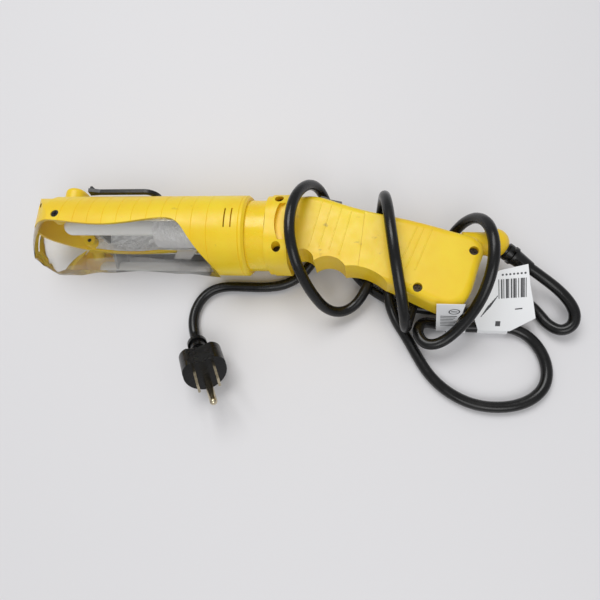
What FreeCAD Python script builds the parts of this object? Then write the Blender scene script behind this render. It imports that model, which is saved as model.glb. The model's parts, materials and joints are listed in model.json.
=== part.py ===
import FreeCAD, Part
import Sketcher
import math
import os

# Corded hand work light lying on a bench, in millimetres.
# Everything but the cord is drawn in the light's own frame: X runs along the head's axis from the
# tip (negative) to the grip (positive), +Y points to the back, where the hook is, and -Y to the
# lens side.  LIE then lays the light on the bench, on its round head and on its own cord, which
# runs underneath the grip.

V = FreeCAD.Vector
doc = FreeCAD.newDocument("work_light")

# ---------------------------------------------------------------- driving dimensions
SIZES = {
    "origin_shift_x": 18.846, "origin_shift_y": 7.674,
    "tip_x": -188.5, "step_x": -171.0, "collar_end_x": -31.5, "collar_start_x": -43.0,
    "head_radius": 27.0, "end_radius": 25.8, "shell_wall": 2.2,
    "groove_start_x": -157.5, "groove_pitch": 10.2, "groove_depth": 0.25,
    "collar_groove_x": -35.0,
    "lens_wall": 2.0, "lens_half_width": 26.8,
    "neck_radius": 23.7, "neck_inner_radius": 21.5, "neck_end_x": -18.9,
    "spigot_radius": 19.5, "spigot_bore": 17.0, "lip_radius": 20.9, "lip_start_x": -16.5,
    "lip_end_x": -13.6, "running_gap": 0.06, "slack_gap": 0.3,
    "rim_start_x": -18.5, "rim_end_x": -15.0, "flange_end_x": -4.0,
    "rim_half": 24.2, "rim_corner": 18.0, "flange_half": 24.8, "flange_corner": 18.0,
    "grip_half_thickness": 11.9, "grip_rounding": 5.0, "grip_wall": 2.4,
    "boss_radius": 9.2, "cord_diameter": 7.0, "relief_length": 24.0,
    "lamp_radius": 6.0, "lamp_spacing": 14.2, "lamp_offset_y": 6.5,
    "lamp_tip_x": -165.5, "lamp_glass_end_x": -42.0, "lamp_base_end_x": -21.5,
    "foil_radius": 13.6, "foil_start_x": -98.0, "foil_length": 34.0,
    "hook_thickness": 2.6, "hook_line_y": 29.8, "hook_pivot_x": -166.0, "hook_shank_z": -7.0,
    "hook_tip_z": 8.0, "hook_bend_x": -110.2, "hook_tip_x": -150.4, "hook_pin_radius": 1.3,
    "dome_radius": 7.4, "dome_top_y": 35.2,
    "tip_screw_y": 13.3, "tip_screw_z": 18.0, "side_screw_x": -161.2, "side_screw_y": 4.1,
    "screw_head_radius": 2.6, "screw_shank_radius": 1.5, "counterbore_radius": 2.9,
    "plug_width": 28.0, "plug_depth": 24.0, "plug_length": 18.0, "plug_shoulder": 14.0,
    "plug_roll": -17.5,
    "blade_spacing": 12.7, "blade_width": 6.3, "blade_thickness": 1.5, "blade_length": 17.0,
    "ground_pin_radius": 2.4, "ground_pin_length": 21.0, "ground_pin_drop": 11.9,
}
sheet = doc.addObject("Spreadsheet::Sheet", "Sizes")
for row, (word, value) in enumerate(SIZES.items(), start=1):
    sheet.set("A%d" % row, word)
    sheet.set("B%d" % row, str(value))
    sheet.setAlias("B%d" % row, word)
doc.recompute()


class Size:
    """A length that carries its number and the sheet formula that it follows."""

    def __init__(self, number, formula):
        self.number = number
        self.formula = formula

    def combined(self, other, sign, number):
        return Size(number, "(%s %s %s)" % (self.formula, sign, formula_of(other)))

    def __add__(self, other):
        return self.combined(other, "+", self.number + number_of(other))

    def __sub__(self, other):
        return self.combined(other, "-", self.number - number_of(other))

    def __mul__(self, other):
        return self.combined(other, "*", self.number * number_of(other))

    def __truediv__(self, other):
        return self.combined(other, "/", self.number / number_of(other))

    def __neg__(self):
        return Size(-self.number, "(0 - %s)" % self.formula)


def number_of(value):
    return value.number if isinstance(value, Size) else float(value)


def formula_of(value):
    return value.formula if isinstance(value, Size) else repr(float(value))


def size(word):
    return Size(float(sheet.get(word)), "Sizes.%s" % word)


def num(word):
    return float(sheet.get(word))


LIE = FreeCAD.Placement(V(num("origin_shift_x"), num("origin_shift_y"), num("head_radius")),
                        FreeCAD.Rotation())
ON_BENCH = FreeCAD.Placement(V(num("origin_shift_x"), num("origin_shift_y"), 0), FreeCAD.Rotation())
ALONG = {"x": FreeCAD.Rotation(V(0, 1, 0), 90), "y": FreeCAD.Rotation(V(1, 0, 0), -90),
         "z": FreeCAD.Rotation()}
finished = []


# ---------------------------------------------------------------- helpers
def bind(thing, prop, value):
    if isinstance(value, Size):
        thing.setExpression(prop, value.formula)
    else:
        setattr(thing, prop, value)


def place(thing, at, turn=FreeCAD.Rotation()):
    thing.Placement = FreeCAD.Placement(V(*[number_of(c) for c in at]), turn)
    for axis, value in zip("xyz", at):
        if isinstance(value, Size):
            thing.setExpression("Placement.Base." + axis, value.formula)
    return thing


def cylinder(name, radius, length, at, along="x"):
    thing = doc.addObject("Part::Cylinder", name)
    bind(thing, "Radius", radius)
    bind(thing, "Height", length)
    turn = ALONG[along] if isinstance(along, str) else along
    return place(thing, at, turn)


def box(name, low, high):
    thing = doc.addObject("Part::Box", name)
    for prop, bottom, top in zip(("Length", "Width", "Height"), low, high):
        if isinstance(top, Size) or isinstance(bottom, Size):
            base = bottom if isinstance(bottom, Size) else Size(float(bottom), repr(float(bottom)))
            thing.setExpression(prop, "%s - %s" % (formula_of(top), base.formula))
        else:
            setattr(thing, prop, top - bottom)
    return place(thing, low)


def sphere(name, radius, at):
    thing = doc.addObject("Part::Sphere", name)
    bind(thing, "Radius", radius)
    return place(thing, at)


def cut(name, base, tool):
    thing = doc.addObject("Part::Cut", name)
    thing.Base = base
    thing.Tool = tool
    return thing


def fuse(name, *shapes):
    thing = doc.addObject("Part::MultiFuse", name)
    thing.Shapes = list(shapes)
    return thing


def common(name, *shapes):
    thing = doc.addObject("Part::MultiCommon", name)
    thing.Shapes = list(shapes)
    return thing


def group(name, *shapes):
    thing = doc.addObject("Part::Compound", name)
    thing.Links = list(shapes)
    return thing


def fillet(name, base, radius, chosen):
    """Round the edges of base that chosen(edge) picks."""
    doc.recompute()
    thing = doc.addObject("Part::Fillet", name)
    thing.Base = base
    edges = enumerate(base.Shape.Edges, start=1)
    thing.Edges = [(index, radius, radius) for index, edge in edges if chosen(edge)]
    return thing


def origin_plane(body, role):
    return next(f for f in body.Origin.OriginFeatures if f.Role == role)


def sketch_on(body, name, role, offset=0.0):
    sketch = body.newObject("Sketcher::SketchObject", name)
    sketch.AttachmentSupport = (origin_plane(body, role), [""])
    sketch.MapMode = "FlatFace"
    sketch.AttachmentOffset = FreeCAD.Placement(V(0, 0, offset), FreeCAD.Rotation())
    return sketch


def polygon(sketch, corners):
    """A closed polygon whose corners follow the sheet."""
    points = [V(number_of(x), number_of(y), 0) for x, y in corners]
    count = len(points)
    for index in range(count):
        sketch.addGeometry(Part.LineSegment(points[index], points[(index + 1) % count]), False)
    for index in range(count):
        joint = Sketcher.Constraint("Coincident", index, 2, (index + 1) % count, 1)
        sketch.addConstraint(joint)
    for index, (corner, point) in enumerate(zip(corners, points)):
        for kind, value, number, axis in (("DistanceX", corner[0], point.x, -2),
                                          ("DistanceY", corner[1], point.y, -1)):
            if abs(number) < 1e-9:
                sketch.addConstraint(Sketcher.Constraint("PointOnObject", index, 1, axis))
                continue
            which = sketch.addConstraint(Sketcher.Constraint(kind, -1, 1, index, 1, number))
            if isinstance(value, Size):
                sketch.setExpression("Constraints[%d]" % which, value.formula)


def revolved(name, corners):
    """A solid of revolution about X from a polygon of (x, radius) corners."""
    body = doc.addObject("PartDesign::Body", name)
    sketch = sketch_on(body, name + "_profile", "XY_Plane")
    polygon(sketch, corners)
    turned = body.newObject("PartDesign::Revolution", name + "_turned")
    turned.Profile = sketch
    turned.ReferenceAxis = (sketch, ["H_Axis"])
    turned.Angle = 360
    body.Tip = turned
    return body


def padded(name, role, low, thickness, edges=None, corners=None):
    """A prism from closed edges, or from a polygon, that starts low above its plane."""
    body = doc.addObject("PartDesign::Body", name)
    sketch = sketch_on(body, name + "_outline", role, low)
    if corners:
        polygon(sketch, corners)
    else:
        sketch.addGeometry(edges, False)
    raised = body.newObject("PartDesign::Pad", name + "_pad")
    raised.Profile = sketch
    bind(raised, "Length", thickness)
    body.Tip = raised
    return body


def route(start, *steps):
    """Line and arc geometry from start.  A step is an end point, or (middle, end) of an arc."""
    edges, here = [], V(*start)
    for step in steps:
        if isinstance(step[0], tuple):
            edges.append(Part.Arc(here, V(*step[0]), V(*step[1])))
            here = V(*step[1])
        else:
            edges.append(Part.LineSegment(here, V(*step)))
            here = V(*step)
    return edges


def rounded_square(half, corner):
    """Edges of a square with rounded corners, centred on the origin."""
    flat, near = half - corner, half - corner * (1 - math.sqrt(0.5))
    return route((flat, half), (-flat, half), ((-near, near), (-half, flat)), (-half, -flat),
                 ((-near, -near), (-flat, -half)), (flat, -half), ((near, -near), (half, -flat)),
                 (half, flat), ((near, near), (flat, half)))


def free_form(name, shape):
    thing = doc.addObject("Part::Feature", name)
    thing.Shape = shape
    return thing


def finish(node, thing, lie=LIE):
    thing.Label = node
    thing.Placement = lie
    finished.append(thing)
    return thing


# ---------------------------------------------------------------- head: shell and lens
def smooth(points):
    curve = Part.BSplineCurve()
    curve.interpolate([V(x, y, 0) for x, y in points])
    return curve


# The edge where shell and lens meet, seen from the side: nearly straight, then it sweeps round the
# front to the collar.
PARTING = [(-200, 0), (-182, 0), (-160, -0.8), (-140, -2.8), (-125, -3.2), (-105, -1.2), (-86, 1.0),
           (-79, 0.2), (-74, -3.2), (-68, -11), (-60.5, -20), (-53, -26.5), (-44, -31)]
# The lens's front line, seen from the side: deepest near the tip, with a waist behind it.
LENS_FRONT = [(-188.8, -12), (-186.5, -20), (-181, -24.5), (-173, -27), (-165, -27.3), (-155, -25.5),
              (-138, -23), (-115, -21.2), (-95, -22.3), (-75, -24.6), (-60, -26.4), (-40, -27)]
# Half of the head's outline seen along Y, from the full width round to the middle of the tip.
TIP_ROUND = [(-164, -28), (-167.5, -26.6), (-173, -23.6), (-178.7, -18.8), (-184.3, -12.6),
             (-187.4, -6.5), (-188.5, 0)]


def lens_side():
    """Everything on the lens's side of the parting edge."""
    body = doc.addObject("PartDesign::Body", "lens_side")
    sketch = sketch_on(body, "lens_side_outline", "XY_Plane", -40)
    sketch.addGeometry(smooth(PARTING), False)
    first, last = PARTING[0], PARTING[-1]
    sketch.addGeometry(route(last + (0,), (last[0], -45, 0), (first[0], -45, 0), first + (0,)), False)
    raised = body.newObject("PartDesign::Pad", "lens_side_pad")
    raised.Profile = sketch
    raised.Length = 80
    body.Tip = raised
    return body


def inset_line(points, inset):
    """The same line, moved inwards (to its left) by inset."""
    moved = []
    for index, (x, y) in enumerate(points):
        before, after = points[max(index - 1, 0)], points[min(index + 1, len(points) - 1)]
        along = V(after[0] - before[0], after[1] - before[1], 0).normalize()
        moved.append((x + along.y * inset, y - along.x * inset))
    return moved


def head_plan(name, inset):
    """A tall block with the head's rounded outline, as seen along Y."""
    half = inset_line(TIP_ROUND, inset)
    whole = half + [(x, -z) for x, z in reversed(half[:-1])]
    start, end = whole[0], whole[-1]
    closing = route(end + (0,), (-10, end[1], 0), (-10, start[1], 0), start + (0,))
    return padded(name, "XZ_Plane", -40, 80.0, edges=[smooth(whole)] + closing)


def lens_block(name, inset):
    """The lens's outer block, or its inside when inset by the wall."""
    half = size("lens_half_width") - inset
    section = padded(name + "_section", "YZ_Plane", num("tip_x") - 5, 160.0, corners=[
        (8.0, half), (0.0, half), (inset - 19.5, half - 8.3), (-30.0 + inset, half - 22.8),
        (-30.0 + inset, -half + 22.8), (inset - 19.5, -half + 8.3), (0.0, -half), (8.0, -half)])
    front = [(x, y + inset) for x, y in LENS_FRONT]
    side = doc.addObject("PartDesign::Body", name + "_side")
    outline = sketch_on(side, name + "_side_outline", "XY_Plane", -40)
    outline.addGeometry(smooth(front), False)
    right, left = front[-1], front[0]
    outline.addGeometry(route(right + (0,), (right[0], 10, 0), (left[0], 10, 0), left + (0,)), False)
    raised = side.newObject("PartDesign::Pad", name + "_side_pad")
    raised.Profile = outline
    raised.Length = 80
    side.Tip = raised
    return common(name, section, side, head_plan(name + "_plan", inset + 0.2))


def head_back_shell(opening):
    radius, tip, end = size("head_radius"), size("tip_x"), size("collar_end_x")
    wall, step, start = size("shell_wall"), size("step_x"), size("collar_start_x")
    narrow = size("end_radius")
    grooves = []
    for index in range(11):
        at = size("groove_start_x") + size("groove_pitch") * index
        grooves += ring_groove(at, radius, size("groove_depth"))
    grooves += ring_groove(size("collar_groove_x"), radius, size("groove_depth") * 1.5)
    turned = revolved("shell_outer", [
        (tip - 1, 0.0), (tip - 1, narrow - 3), (tip + 1.5, narrow - 1), (tip + 5, narrow),
        (step, narrow), (step + 1, radius)] + grooves + [
        (end - 1.6, radius), (end, radius - 1.4), (end, 0.0)])
    outer = common("shell_outside", turned, head_plan("shell_plan", 0.0))
    hollow = revolved("shell_inner", [
        (tip - 1, 0.0), (tip - 1, narrow - wall - 3), (tip + 5, narrow - wall),
        (step, narrow - wall), (step + 3, radius - wall), (start, radius - wall),
        (start, size("neck_radius")), (end + 2, size("neck_radius")), (end + 2, 0.0)])
    inner = common("shell_inside", hollow, head_plan("shell_inner_plan", num("shell_wall")))
    tip_y, tip_z = size("tip_screw_y"), size("tip_screw_z")
    side_x, side_y = size("side_screw_x"), size("side_screw_y")
    bosses = common("shell_bosses", outer, fuse(
        "boss_posts", cylinder("tip_boss", 4.4, 21.5, (tip, tip_y, tip_z)),
        cylinder("side_boss_0", 4.4, 9.0, (side_x, side_y, 18), "z"),
        cylinder("side_boss_1", 4.4, 9.0, (side_x, side_y, -27), "z")))
    slots = [box("tongue_slot_%d" % index, (at, -5.5, 22), (at + 0.9, 8, 34))
             for index, at in enumerate((-44.6, -40.2))]
    hole = size("screw_shank_radius") + 0.05
    recesses = [
        cylinder("tip_recess", size("counterbore_radius"), 14.0, (tip - 1, tip_y, tip_z)),
        cylinder("tip_hole", hole, 21.4, (tip - 1, tip_y, tip_z)),
        cylinder("side_recess_0", 2.75, 5.0, (side_x, side_y, 24), "z"),
        cylinder("side_recess_1", 2.75, 5.0, (side_x, side_y, -29), "z"),
        cylinder("side_holes", hole, 70.0, (side_x, side_y, -35), "z")]
    pivot_x, line_y = size("hook_pivot_x"), size("hook_line_y")
    dome, dome_top = size("dome_radius"), size("dome_top_y")
    dome_parts = [cylinder("dome_front", dome, dome_top - 22.8, (pivot_x, 22.8, 0), "y"),
                  cylinder("dome_back", dome, dome_top - 22.8, (pivot_x, 22.8, -7), "y"),
                  box("dome_middle", (pivot_x - dome, 22.8, -7), (pivot_x + dome, dome_top, 0))]
    top_level = dome_top.number - 0.1
    dome = fillet("dome", fuse("dome_block", *dome_parts), 3.4,
                  lambda edge: min(v.Point.y for v in edge.Vertexes) > top_level)
    hook_slot = box("hook_slot", (pivot_x - 12, line_y - 4, -9.1), (pivot_x + 12, 40, -4.9))
    pin_bore = cylinder("hook_pin_bore", size("hook_pin_radius"), 14.0, (pivot_x, line_y, -14), "z")
    walls = fuse("shell_walls", cut("shell_hollow", outer, inner), bosses, dome)
    back_half = cut("shell_back_half", walls, opening)
    tools = fuse("shell_cuts", hook_slot, pin_bore, *slots, *recesses)
    finish("head_back_shell", cut("head_back_shell", back_half, tools))


def ring_groove(at, radius, depth):
    """Corners of a fine V-groove in the head's profile."""
    return [(at - depth, radius), (at, radius - depth), (at + depth, radius)]


def clear_lens(opening):
    outer = lens_block("lens_outer", 0.0)
    inner = lens_block("lens_inner", num("lens_wall"))
    finish("clear_lens", common("clear_lens", cut("lens_hollow", outer, inner), opening))


def neck_tube():
    bore, outside = size("neck_inner_radius"), size("neck_radius")
    end, lip_start, lip_end = size("neck_end_x"), size("lip_start_x"), size("lip_end_x")
    start = size("collar_start_x") + 1
    finish("neck_tube", revolved("neck_tube", [
        (start, bore), (start, outside), (end, outside), (end, size("spigot_radius")),
        (lip_start, size("spigot_radius")), (lip_start, size("lip_radius")),
        (lip_end, size("lip_radius")), (lip_end, size("spigot_bore")), (end, size("spigot_bore")),
        (end - 4.5, bore)]))


# ---------------------------------------------------------------- head: lamp
def lamp_axes():
    """Where the two glass tubes run, one above the other on a slant."""
    slant, reach = math.radians(24), num("lamp_spacing") / 2
    middle = num("lamp_offset_y")
    return [(middle - reach * math.sin(slant), reach * math.cos(slant)),
            (middle + reach * math.sin(slant), -reach * math.cos(slant))]


def lamp_pins(name, radius, length):
    start = size("lamp_base_end_x")
    return group(name, *[cylinder("%s_%d" % (name, index), radius, length,
                                  (start, 3.0 + 2.0 * sign, 4.5 * sign))
                         for index, sign in enumerate((-1, 1))])


def lamp_tubes(name, radius, bridge):
    """Two round-ended tubes and the bridge that joins them near the tip."""
    middle_x, end = size("lamp_tip_x") + size("lamp_radius"), size("lamp_glass_end_x")
    tubes = []
    for index, (y, z) in enumerate(lamp_axes()):
        tubes.append(cylinder("%s_%d" % (name, index), radius, end - middle_x, (middle_x, y, z)))
        tubes.append(sphere("%s_end_%d" % (name, index), radius, (middle_x, y, z)))
    (y1, z1), (y2, z2) = lamp_axes()
    across = FreeCAD.Rotation(V(0, 0, 1), V(0, y2 - y1, z2 - z1))
    tubes.append(cylinder(name + "_bridge", bridge, size("lamp_spacing"), (middle_x + 4.8, y1, z1),
                          across))
    return tubes


def lamp():
    radius, glass_end = size("lamp_radius"), size("lamp_glass_end_x")
    base_end = size("lamp_base_end_x")
    glass = fuse("lamp_outside", *lamp_tubes("lamp_tube", radius, 2.8))
    hollow = fuse("lamp_inside", *lamp_tubes("lamp_void", radius - 1.0, 1.8))
    finish("lamp_glass", cut("lamp_glass", glass, hollow))

    slanted = FreeCAD.Rotation(V(1, 0, 0), 24)
    block = doc.addObject("Part::Box", "lamp_base_block")
    bind(block, "Length", base_end - glass_end)
    block.Width = 16
    block.Height = 27
    corner = slanted.multVec(V(0, -8, -13.5))
    place(block, (glass_end, corner.y + 4.0, corner.z), slanted)
    finish("lamp_base", group("lamp_base", block))
    finish("lamp_pins", lamp_pins("lamp_pin", 1.2, 5.5))
    holder = cylinder("socket_block", size("spigot_bore") - 0.1, 7.5, (base_end + 0.4, 0, 0))
    holes = lamp_pins("socket_hole", 1.2, 5.5)
    finish("lamp_socket", cut("lamp_socket", holder, holes))


def reflector_and_support():
    radius = size("head_radius") - size("shell_wall") - 0.05
    outer = cylinder("reflector_outer", radius, 87.0, (-145, 0, 0))
    inner = cylinder("reflector_inner", radius - 0.8, 87.0, (-145, 0, 0))
    back_half = box("reflector_half", (-146, -0.6, -30), (-57, 30, 30))
    trough = common("reflector_trough", cut("reflector_tube", outer, inner), back_half)
    wrap, start, length = size("foil_radius"), size("foil_start_x"), size("foil_length")
    middle = size("lamp_offset_y")
    foil = cut("foil_ring", cylinder("foil_outer", wrap + 0.7, length, (start, middle, 0)),
               cylinder("foil_inner", wrap, length + 2, (start - 1, middle, 0)))
    fin = box("foil_fin", (start, middle + wrap + 0.2, -0.5), (start + length, 24.2, 0.5))
    finish("reflector", fuse("reflector", trough, foil, fin))

    plate = common("support_plate", cylinder("support_disc", radius, 2.0, (-149, 0, 0)),
                   box("support_half", (-150, 4.0, -30), (-146, 30, 30)))
    seats = group("support_seats", *[
        cylinder("support_seat_%d" % index, size("lamp_radius"), 4.0, (-150, y, z))
        for index, (y, z) in enumerate(lamp_axes())])
    finish("lamp_support", cut("lamp_support", plate, seats))


def screw(name, at, along, length):
    """A pan-head screw with a cross slot: its head at the start and the shank onwards."""
    head = cylinder(name + "_head", size("screw_head_radius"), 2.0, (0, 0, 0), "z")
    shank = cylinder(name + "_shank", size("screw_shank_radius"), length, (0, 0, 0), "z")
    slot = fuse(name + "_slots", box(name + "_slot_a", (-0.4, -1.8, -0.1), (0.4, 1.8, 0.8)),
                box(name + "_slot_b", (-1.8, -0.4, -0.1), (1.8, 0.4, 0.8)))
    whole = cut(name, fuse(name + "_body", head, shank), slot)
    return place(whole, at, ALONG[along] if isinstance(along, str) else along)


def head_screws():
    down = FreeCAD.Rotation(V(1, 0, 0), 180)
    tip_at = (-177.5, size("tip_screw_y"), size("tip_screw_z"))
    finish("tip_screw", group("tip_screw", screw("tip_screw_solid", tip_at, "x", 9.0)))
    side_x, side_y = size("side_screw_x"), size("side_screw_y")
    finish("side_screws", group("side_screws", screw("side_screw_0", (side_x, side_y, 26), down, 7.6),
                                screw("side_screw_1", (side_x, side_y, -26), "z", 7.6)))


# ---------------------------------------------------------------- hook
def hook():
    """A flat J with a raised barb at its tip, lying along the head's back."""
    pivot, bend, tip = num("hook_pivot_x"), num("hook_bend_x"), num("hook_tip_x")
    low, high = num("hook_shank_z"), num("hook_tip_z")
    half, middle, reach = 1.8, (low + high) / 2, (high - low) / 2
    edges = route(
        (pivot, low - half, 0), (bend, low - half, 0),
        ((bend + reach + half, middle, 0), (bend, high + half, 0)), (tip + 8, high + half, 0),
        (tip, high + half + 1.8, 0), (tip - 1.0, high - half - 0.8, 0), (tip + 7, high - half, 0),
        (bend, high - half, 0), ((bend + reach - half, middle, 0), (bend, low + half, 0)),
        (pivot, low + half, 0), (pivot, low - half, 0))
    line_y, thickness = num("hook_line_y"), num("hook_thickness")
    flat = padded("hook_flat", "XZ_Plane", -line_y - thickness / 2, thickness, edges=edges)
    back = line_y + thickness / 2
    barb = padded("hook_barb", "XY_Plane", high - 1.7, 3.4, corners=[
        (tip - 0.6, back - 0.5), (tip, back + 2.6), (tip + 1.4, back + 2.6), (tip + 4.6, back - 0.5)])
    return [flat, barb]


def hook_and_pin():
    pivot, line_y = size("hook_pivot_x"), size("hook_line_y")
    low = num("hook_shank_z")
    barrel = cylinder("hook_barrel", 3.2, 3.6, (pivot, line_y, low - 1.8), "z")
    bore = cylinder("hook_bore", size("hook_pin_radius") + 0.06, 8.0, (pivot, line_y, low - 4), "z")
    finish("hook", cut("hook", fuse("hook_body", *hook(), barrel), bore))
    pin = cylinder("hook_pin_rod", size("hook_pin_radius"), 14.0, (pivot, line_y, -14), "z")
    finish("hook_pin", group("hook_pin", pin))


# ---------------------------------------------------------------- handle
GRIP_BACK = [(-8, 21.6), (0, 24.6), (8, 25.4), (18, 23.6), (27, 20.4), (47, 14.2), (70, 8.6),
             (90, 3), (105, -1.6), (113, -4.6), (117.3, -11), (115.4, -20), (111, -34),
             (106.2, -44.6), (97.5, -50.4), (86, -47.8), (72, -41.2), (59, -35)]


def grip_edges():
    """The grip's outline: a smooth back and pommel, and two finger grooves in the front."""
    back = smooth(GRIP_BACK)
    front = route((59, -35, 0), ((46, -26.2, 0), (32.6, -25, 0)), ((22.6, -18.6, 0), (12.6, -21.8, 0)),
                  ((5, -13.6, 0), (-4, -19.6, 0)), (-8, -19.6, 0), (-8, 21.6, 0))
    return [back] + front


def screw_spots():
    """Handle screws, all driven down through the upper shell: x, y and the head's seat."""
    return [(-10.4, 16.5, 13.5), (-10.4, -16.5, 13.5), (77.0, -38.2, 7.4), (110.8, -14.2, 7.4)]


def handle_shells():
    half, wall = size("grip_half_thickness"), size("grip_wall")
    start, rim_end, end = size("rim_start_x"), size("rim_end_x"), size("flange_end_x")
    solid_grip = padded("grip", "XY_Plane", -half.number, half * 2, edges=grip_edges())
    rounded_grip = fillet("grip_rounded", solid_grip, num("grip_rounding"), is_smooth_rim)
    flange = padded("flange", "YZ_Plane", rim_end.number, end - rim_end,
                    edges=rounded_square(num("flange_half"), num("flange_corner")))
    rim = padded("rim", "YZ_Plane", start.number, rim_end - start,
                 edges=rounded_square(num("rim_half"), num("rim_corner")))
    boss = sphere("cord_boss", size("boss_radius"), (125.5, -4, 0))
    boss_stem = cylinder("boss_stem", 7.4, 20.0, (106, -4.6, 0))
    outer = fuse("handle_outer", rounded_grip, flange, rim, boss, boss_stem)

    spigot, lip = size("spigot_radius") + size("running_gap"), size("lip_radius") + size("slack_gap")
    lip_start = size("lip_start_x") - size("slack_gap")
    lip_end = size("lip_end_x") + size("slack_gap")
    depth = half - wall
    bays = [
        cylinder("spigot_bore_cut", spigot, lip_start - start + 0.5, (start - 0.5, 0, 0)),
        cylinder("lip_pocket", lip, lip_end - lip_start, (lip_start, 0, 0)),
        cylinder("lead_hole", 7.0, 14.0, (-15, 0, 0)),
        padded("switch_bay", "XY_Plane", -depth.number, depth * 2, corners=[
            (-1.5, -9), (-1.5, 17), (7, 21), (17, 19.6), (31.3, 14.6), (31.3, -14.5),
            (22, -14.2), (10, -9.5)]),
        padded("ballast_bay", "XY_Plane", -depth.number, depth * 2, corners=[
            (33, 15), (47, 10.6), (88, 0), (88, -31), (72, -32), (58, -30.5), (46, -22.5),
            (33, -20.5)]),
        padded("clamp_bay", "XY_Plane", -depth.number, depth * 2, corners=[
            (91, -1), (106, -5.4), (106, -31), (99, -44), (91, -43)]),
        box("lead_slot", (28, -4, -3), (35, 4, 3)), box("mains_slot", (86, -20, -3), (93, -12, 3)),
        box("entry_slot", (104, -10, -3.5), (124, -4, 3.5))]
    relief_seat = relief_cylinder("relief_seat", 4.6, 3.0, 8.0)
    relief_flat = relief_cylinder("relief_flat", 6.6, 9.0, 4.0)
    crescent = common("crescent",
                      cut("crescent_ring", cylinder("crescent_outer", 30.5, 7.0, (18.4, 0, 21), "z"),
                          cylinder("crescent_inner", 26.8, 7.0, (18.4, 0, 21), "z")),
                      box("crescent_span", (-14, -12.5, 21), (-4.6, 12.5, 28)))
    window = box("switch_window", (12.2, 13, -4.6), (29.6, 30, 4.6))
    step = padded("grip_step", "XY_Plane", half.number - 0.7, 2.0, corners=[
        (44.5, 18), (60, 13), (60, -38), (52, -38), (40.5, -27), (42, -10)])
    posts, clearances, threads = [], [], []
    for index, (x, y, seat) in enumerate(screw_spots()):
        top = 25.5 if x < 0 else 13.0
        if x > 0:
            posts.append(cylinder("post_%d" % index, 4.2, depth * 2, (x, y, -depth), "z"))
        clearances.append(cylinder("counterbore_%d" % index, size("counterbore_radius"),
                                   top - seat + 1, (x, y, seat), "z"))
        clearances.append(cylinder("screw_hole_%d" % index, size("screw_shank_radius") + 0.2,
                                   seat + 0.5, (x, y, -0.5), "z"))
        threads.append(cylinder("thread_%d" % index, size("screw_shank_radius"), 8.5,
                                (x, y, -8.0), "z"))
    hollow = cut("handle_hollow", outer, fuse("handle_bays", *bays))
    solid = fuse("handle_walls", hollow, *posts) if posts else hollow
    shaped = cut("handle_shaped", solid, fuse("handle_cuts", relief_seat, relief_flat, window,
                                              crescent, step))
    above = box("above_split", (-60, -80, 0), (160, 60, 40))
    below = box("below_split", (-60, -80, -40), (160, 60, 0))
    upper = cut("handle_shell_upper", common("upper_half", shaped, above),
                fuse("upper_screw_holes", *clearances))
    lower = cut("handle_shell_lower", common("lower_half", shaped, below),
                fuse("lower_threads", *threads))
    finish("handle_shell_upper", upper)
    finish("handle_shell_lower", lower)
    down = FreeCAD.Rotation(V(1, 0, 0), 180)
    screws = [screw("handle_screw_%d" % index, (x, y, seat + 2), down, seat + 9.6)
              for index, (x, y, seat) in enumerate(screw_spots())]
    finish("handle_screws", group("handle_screws", *screws))


def is_smooth_rim(edge):
    """The top and bottom edges that follow the smooth back of the grip."""
    level = abs(edge.BoundBox.ZMax - edge.BoundBox.ZMin) < 1e-6
    return level and edge.BoundBox.XLength > 80


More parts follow.
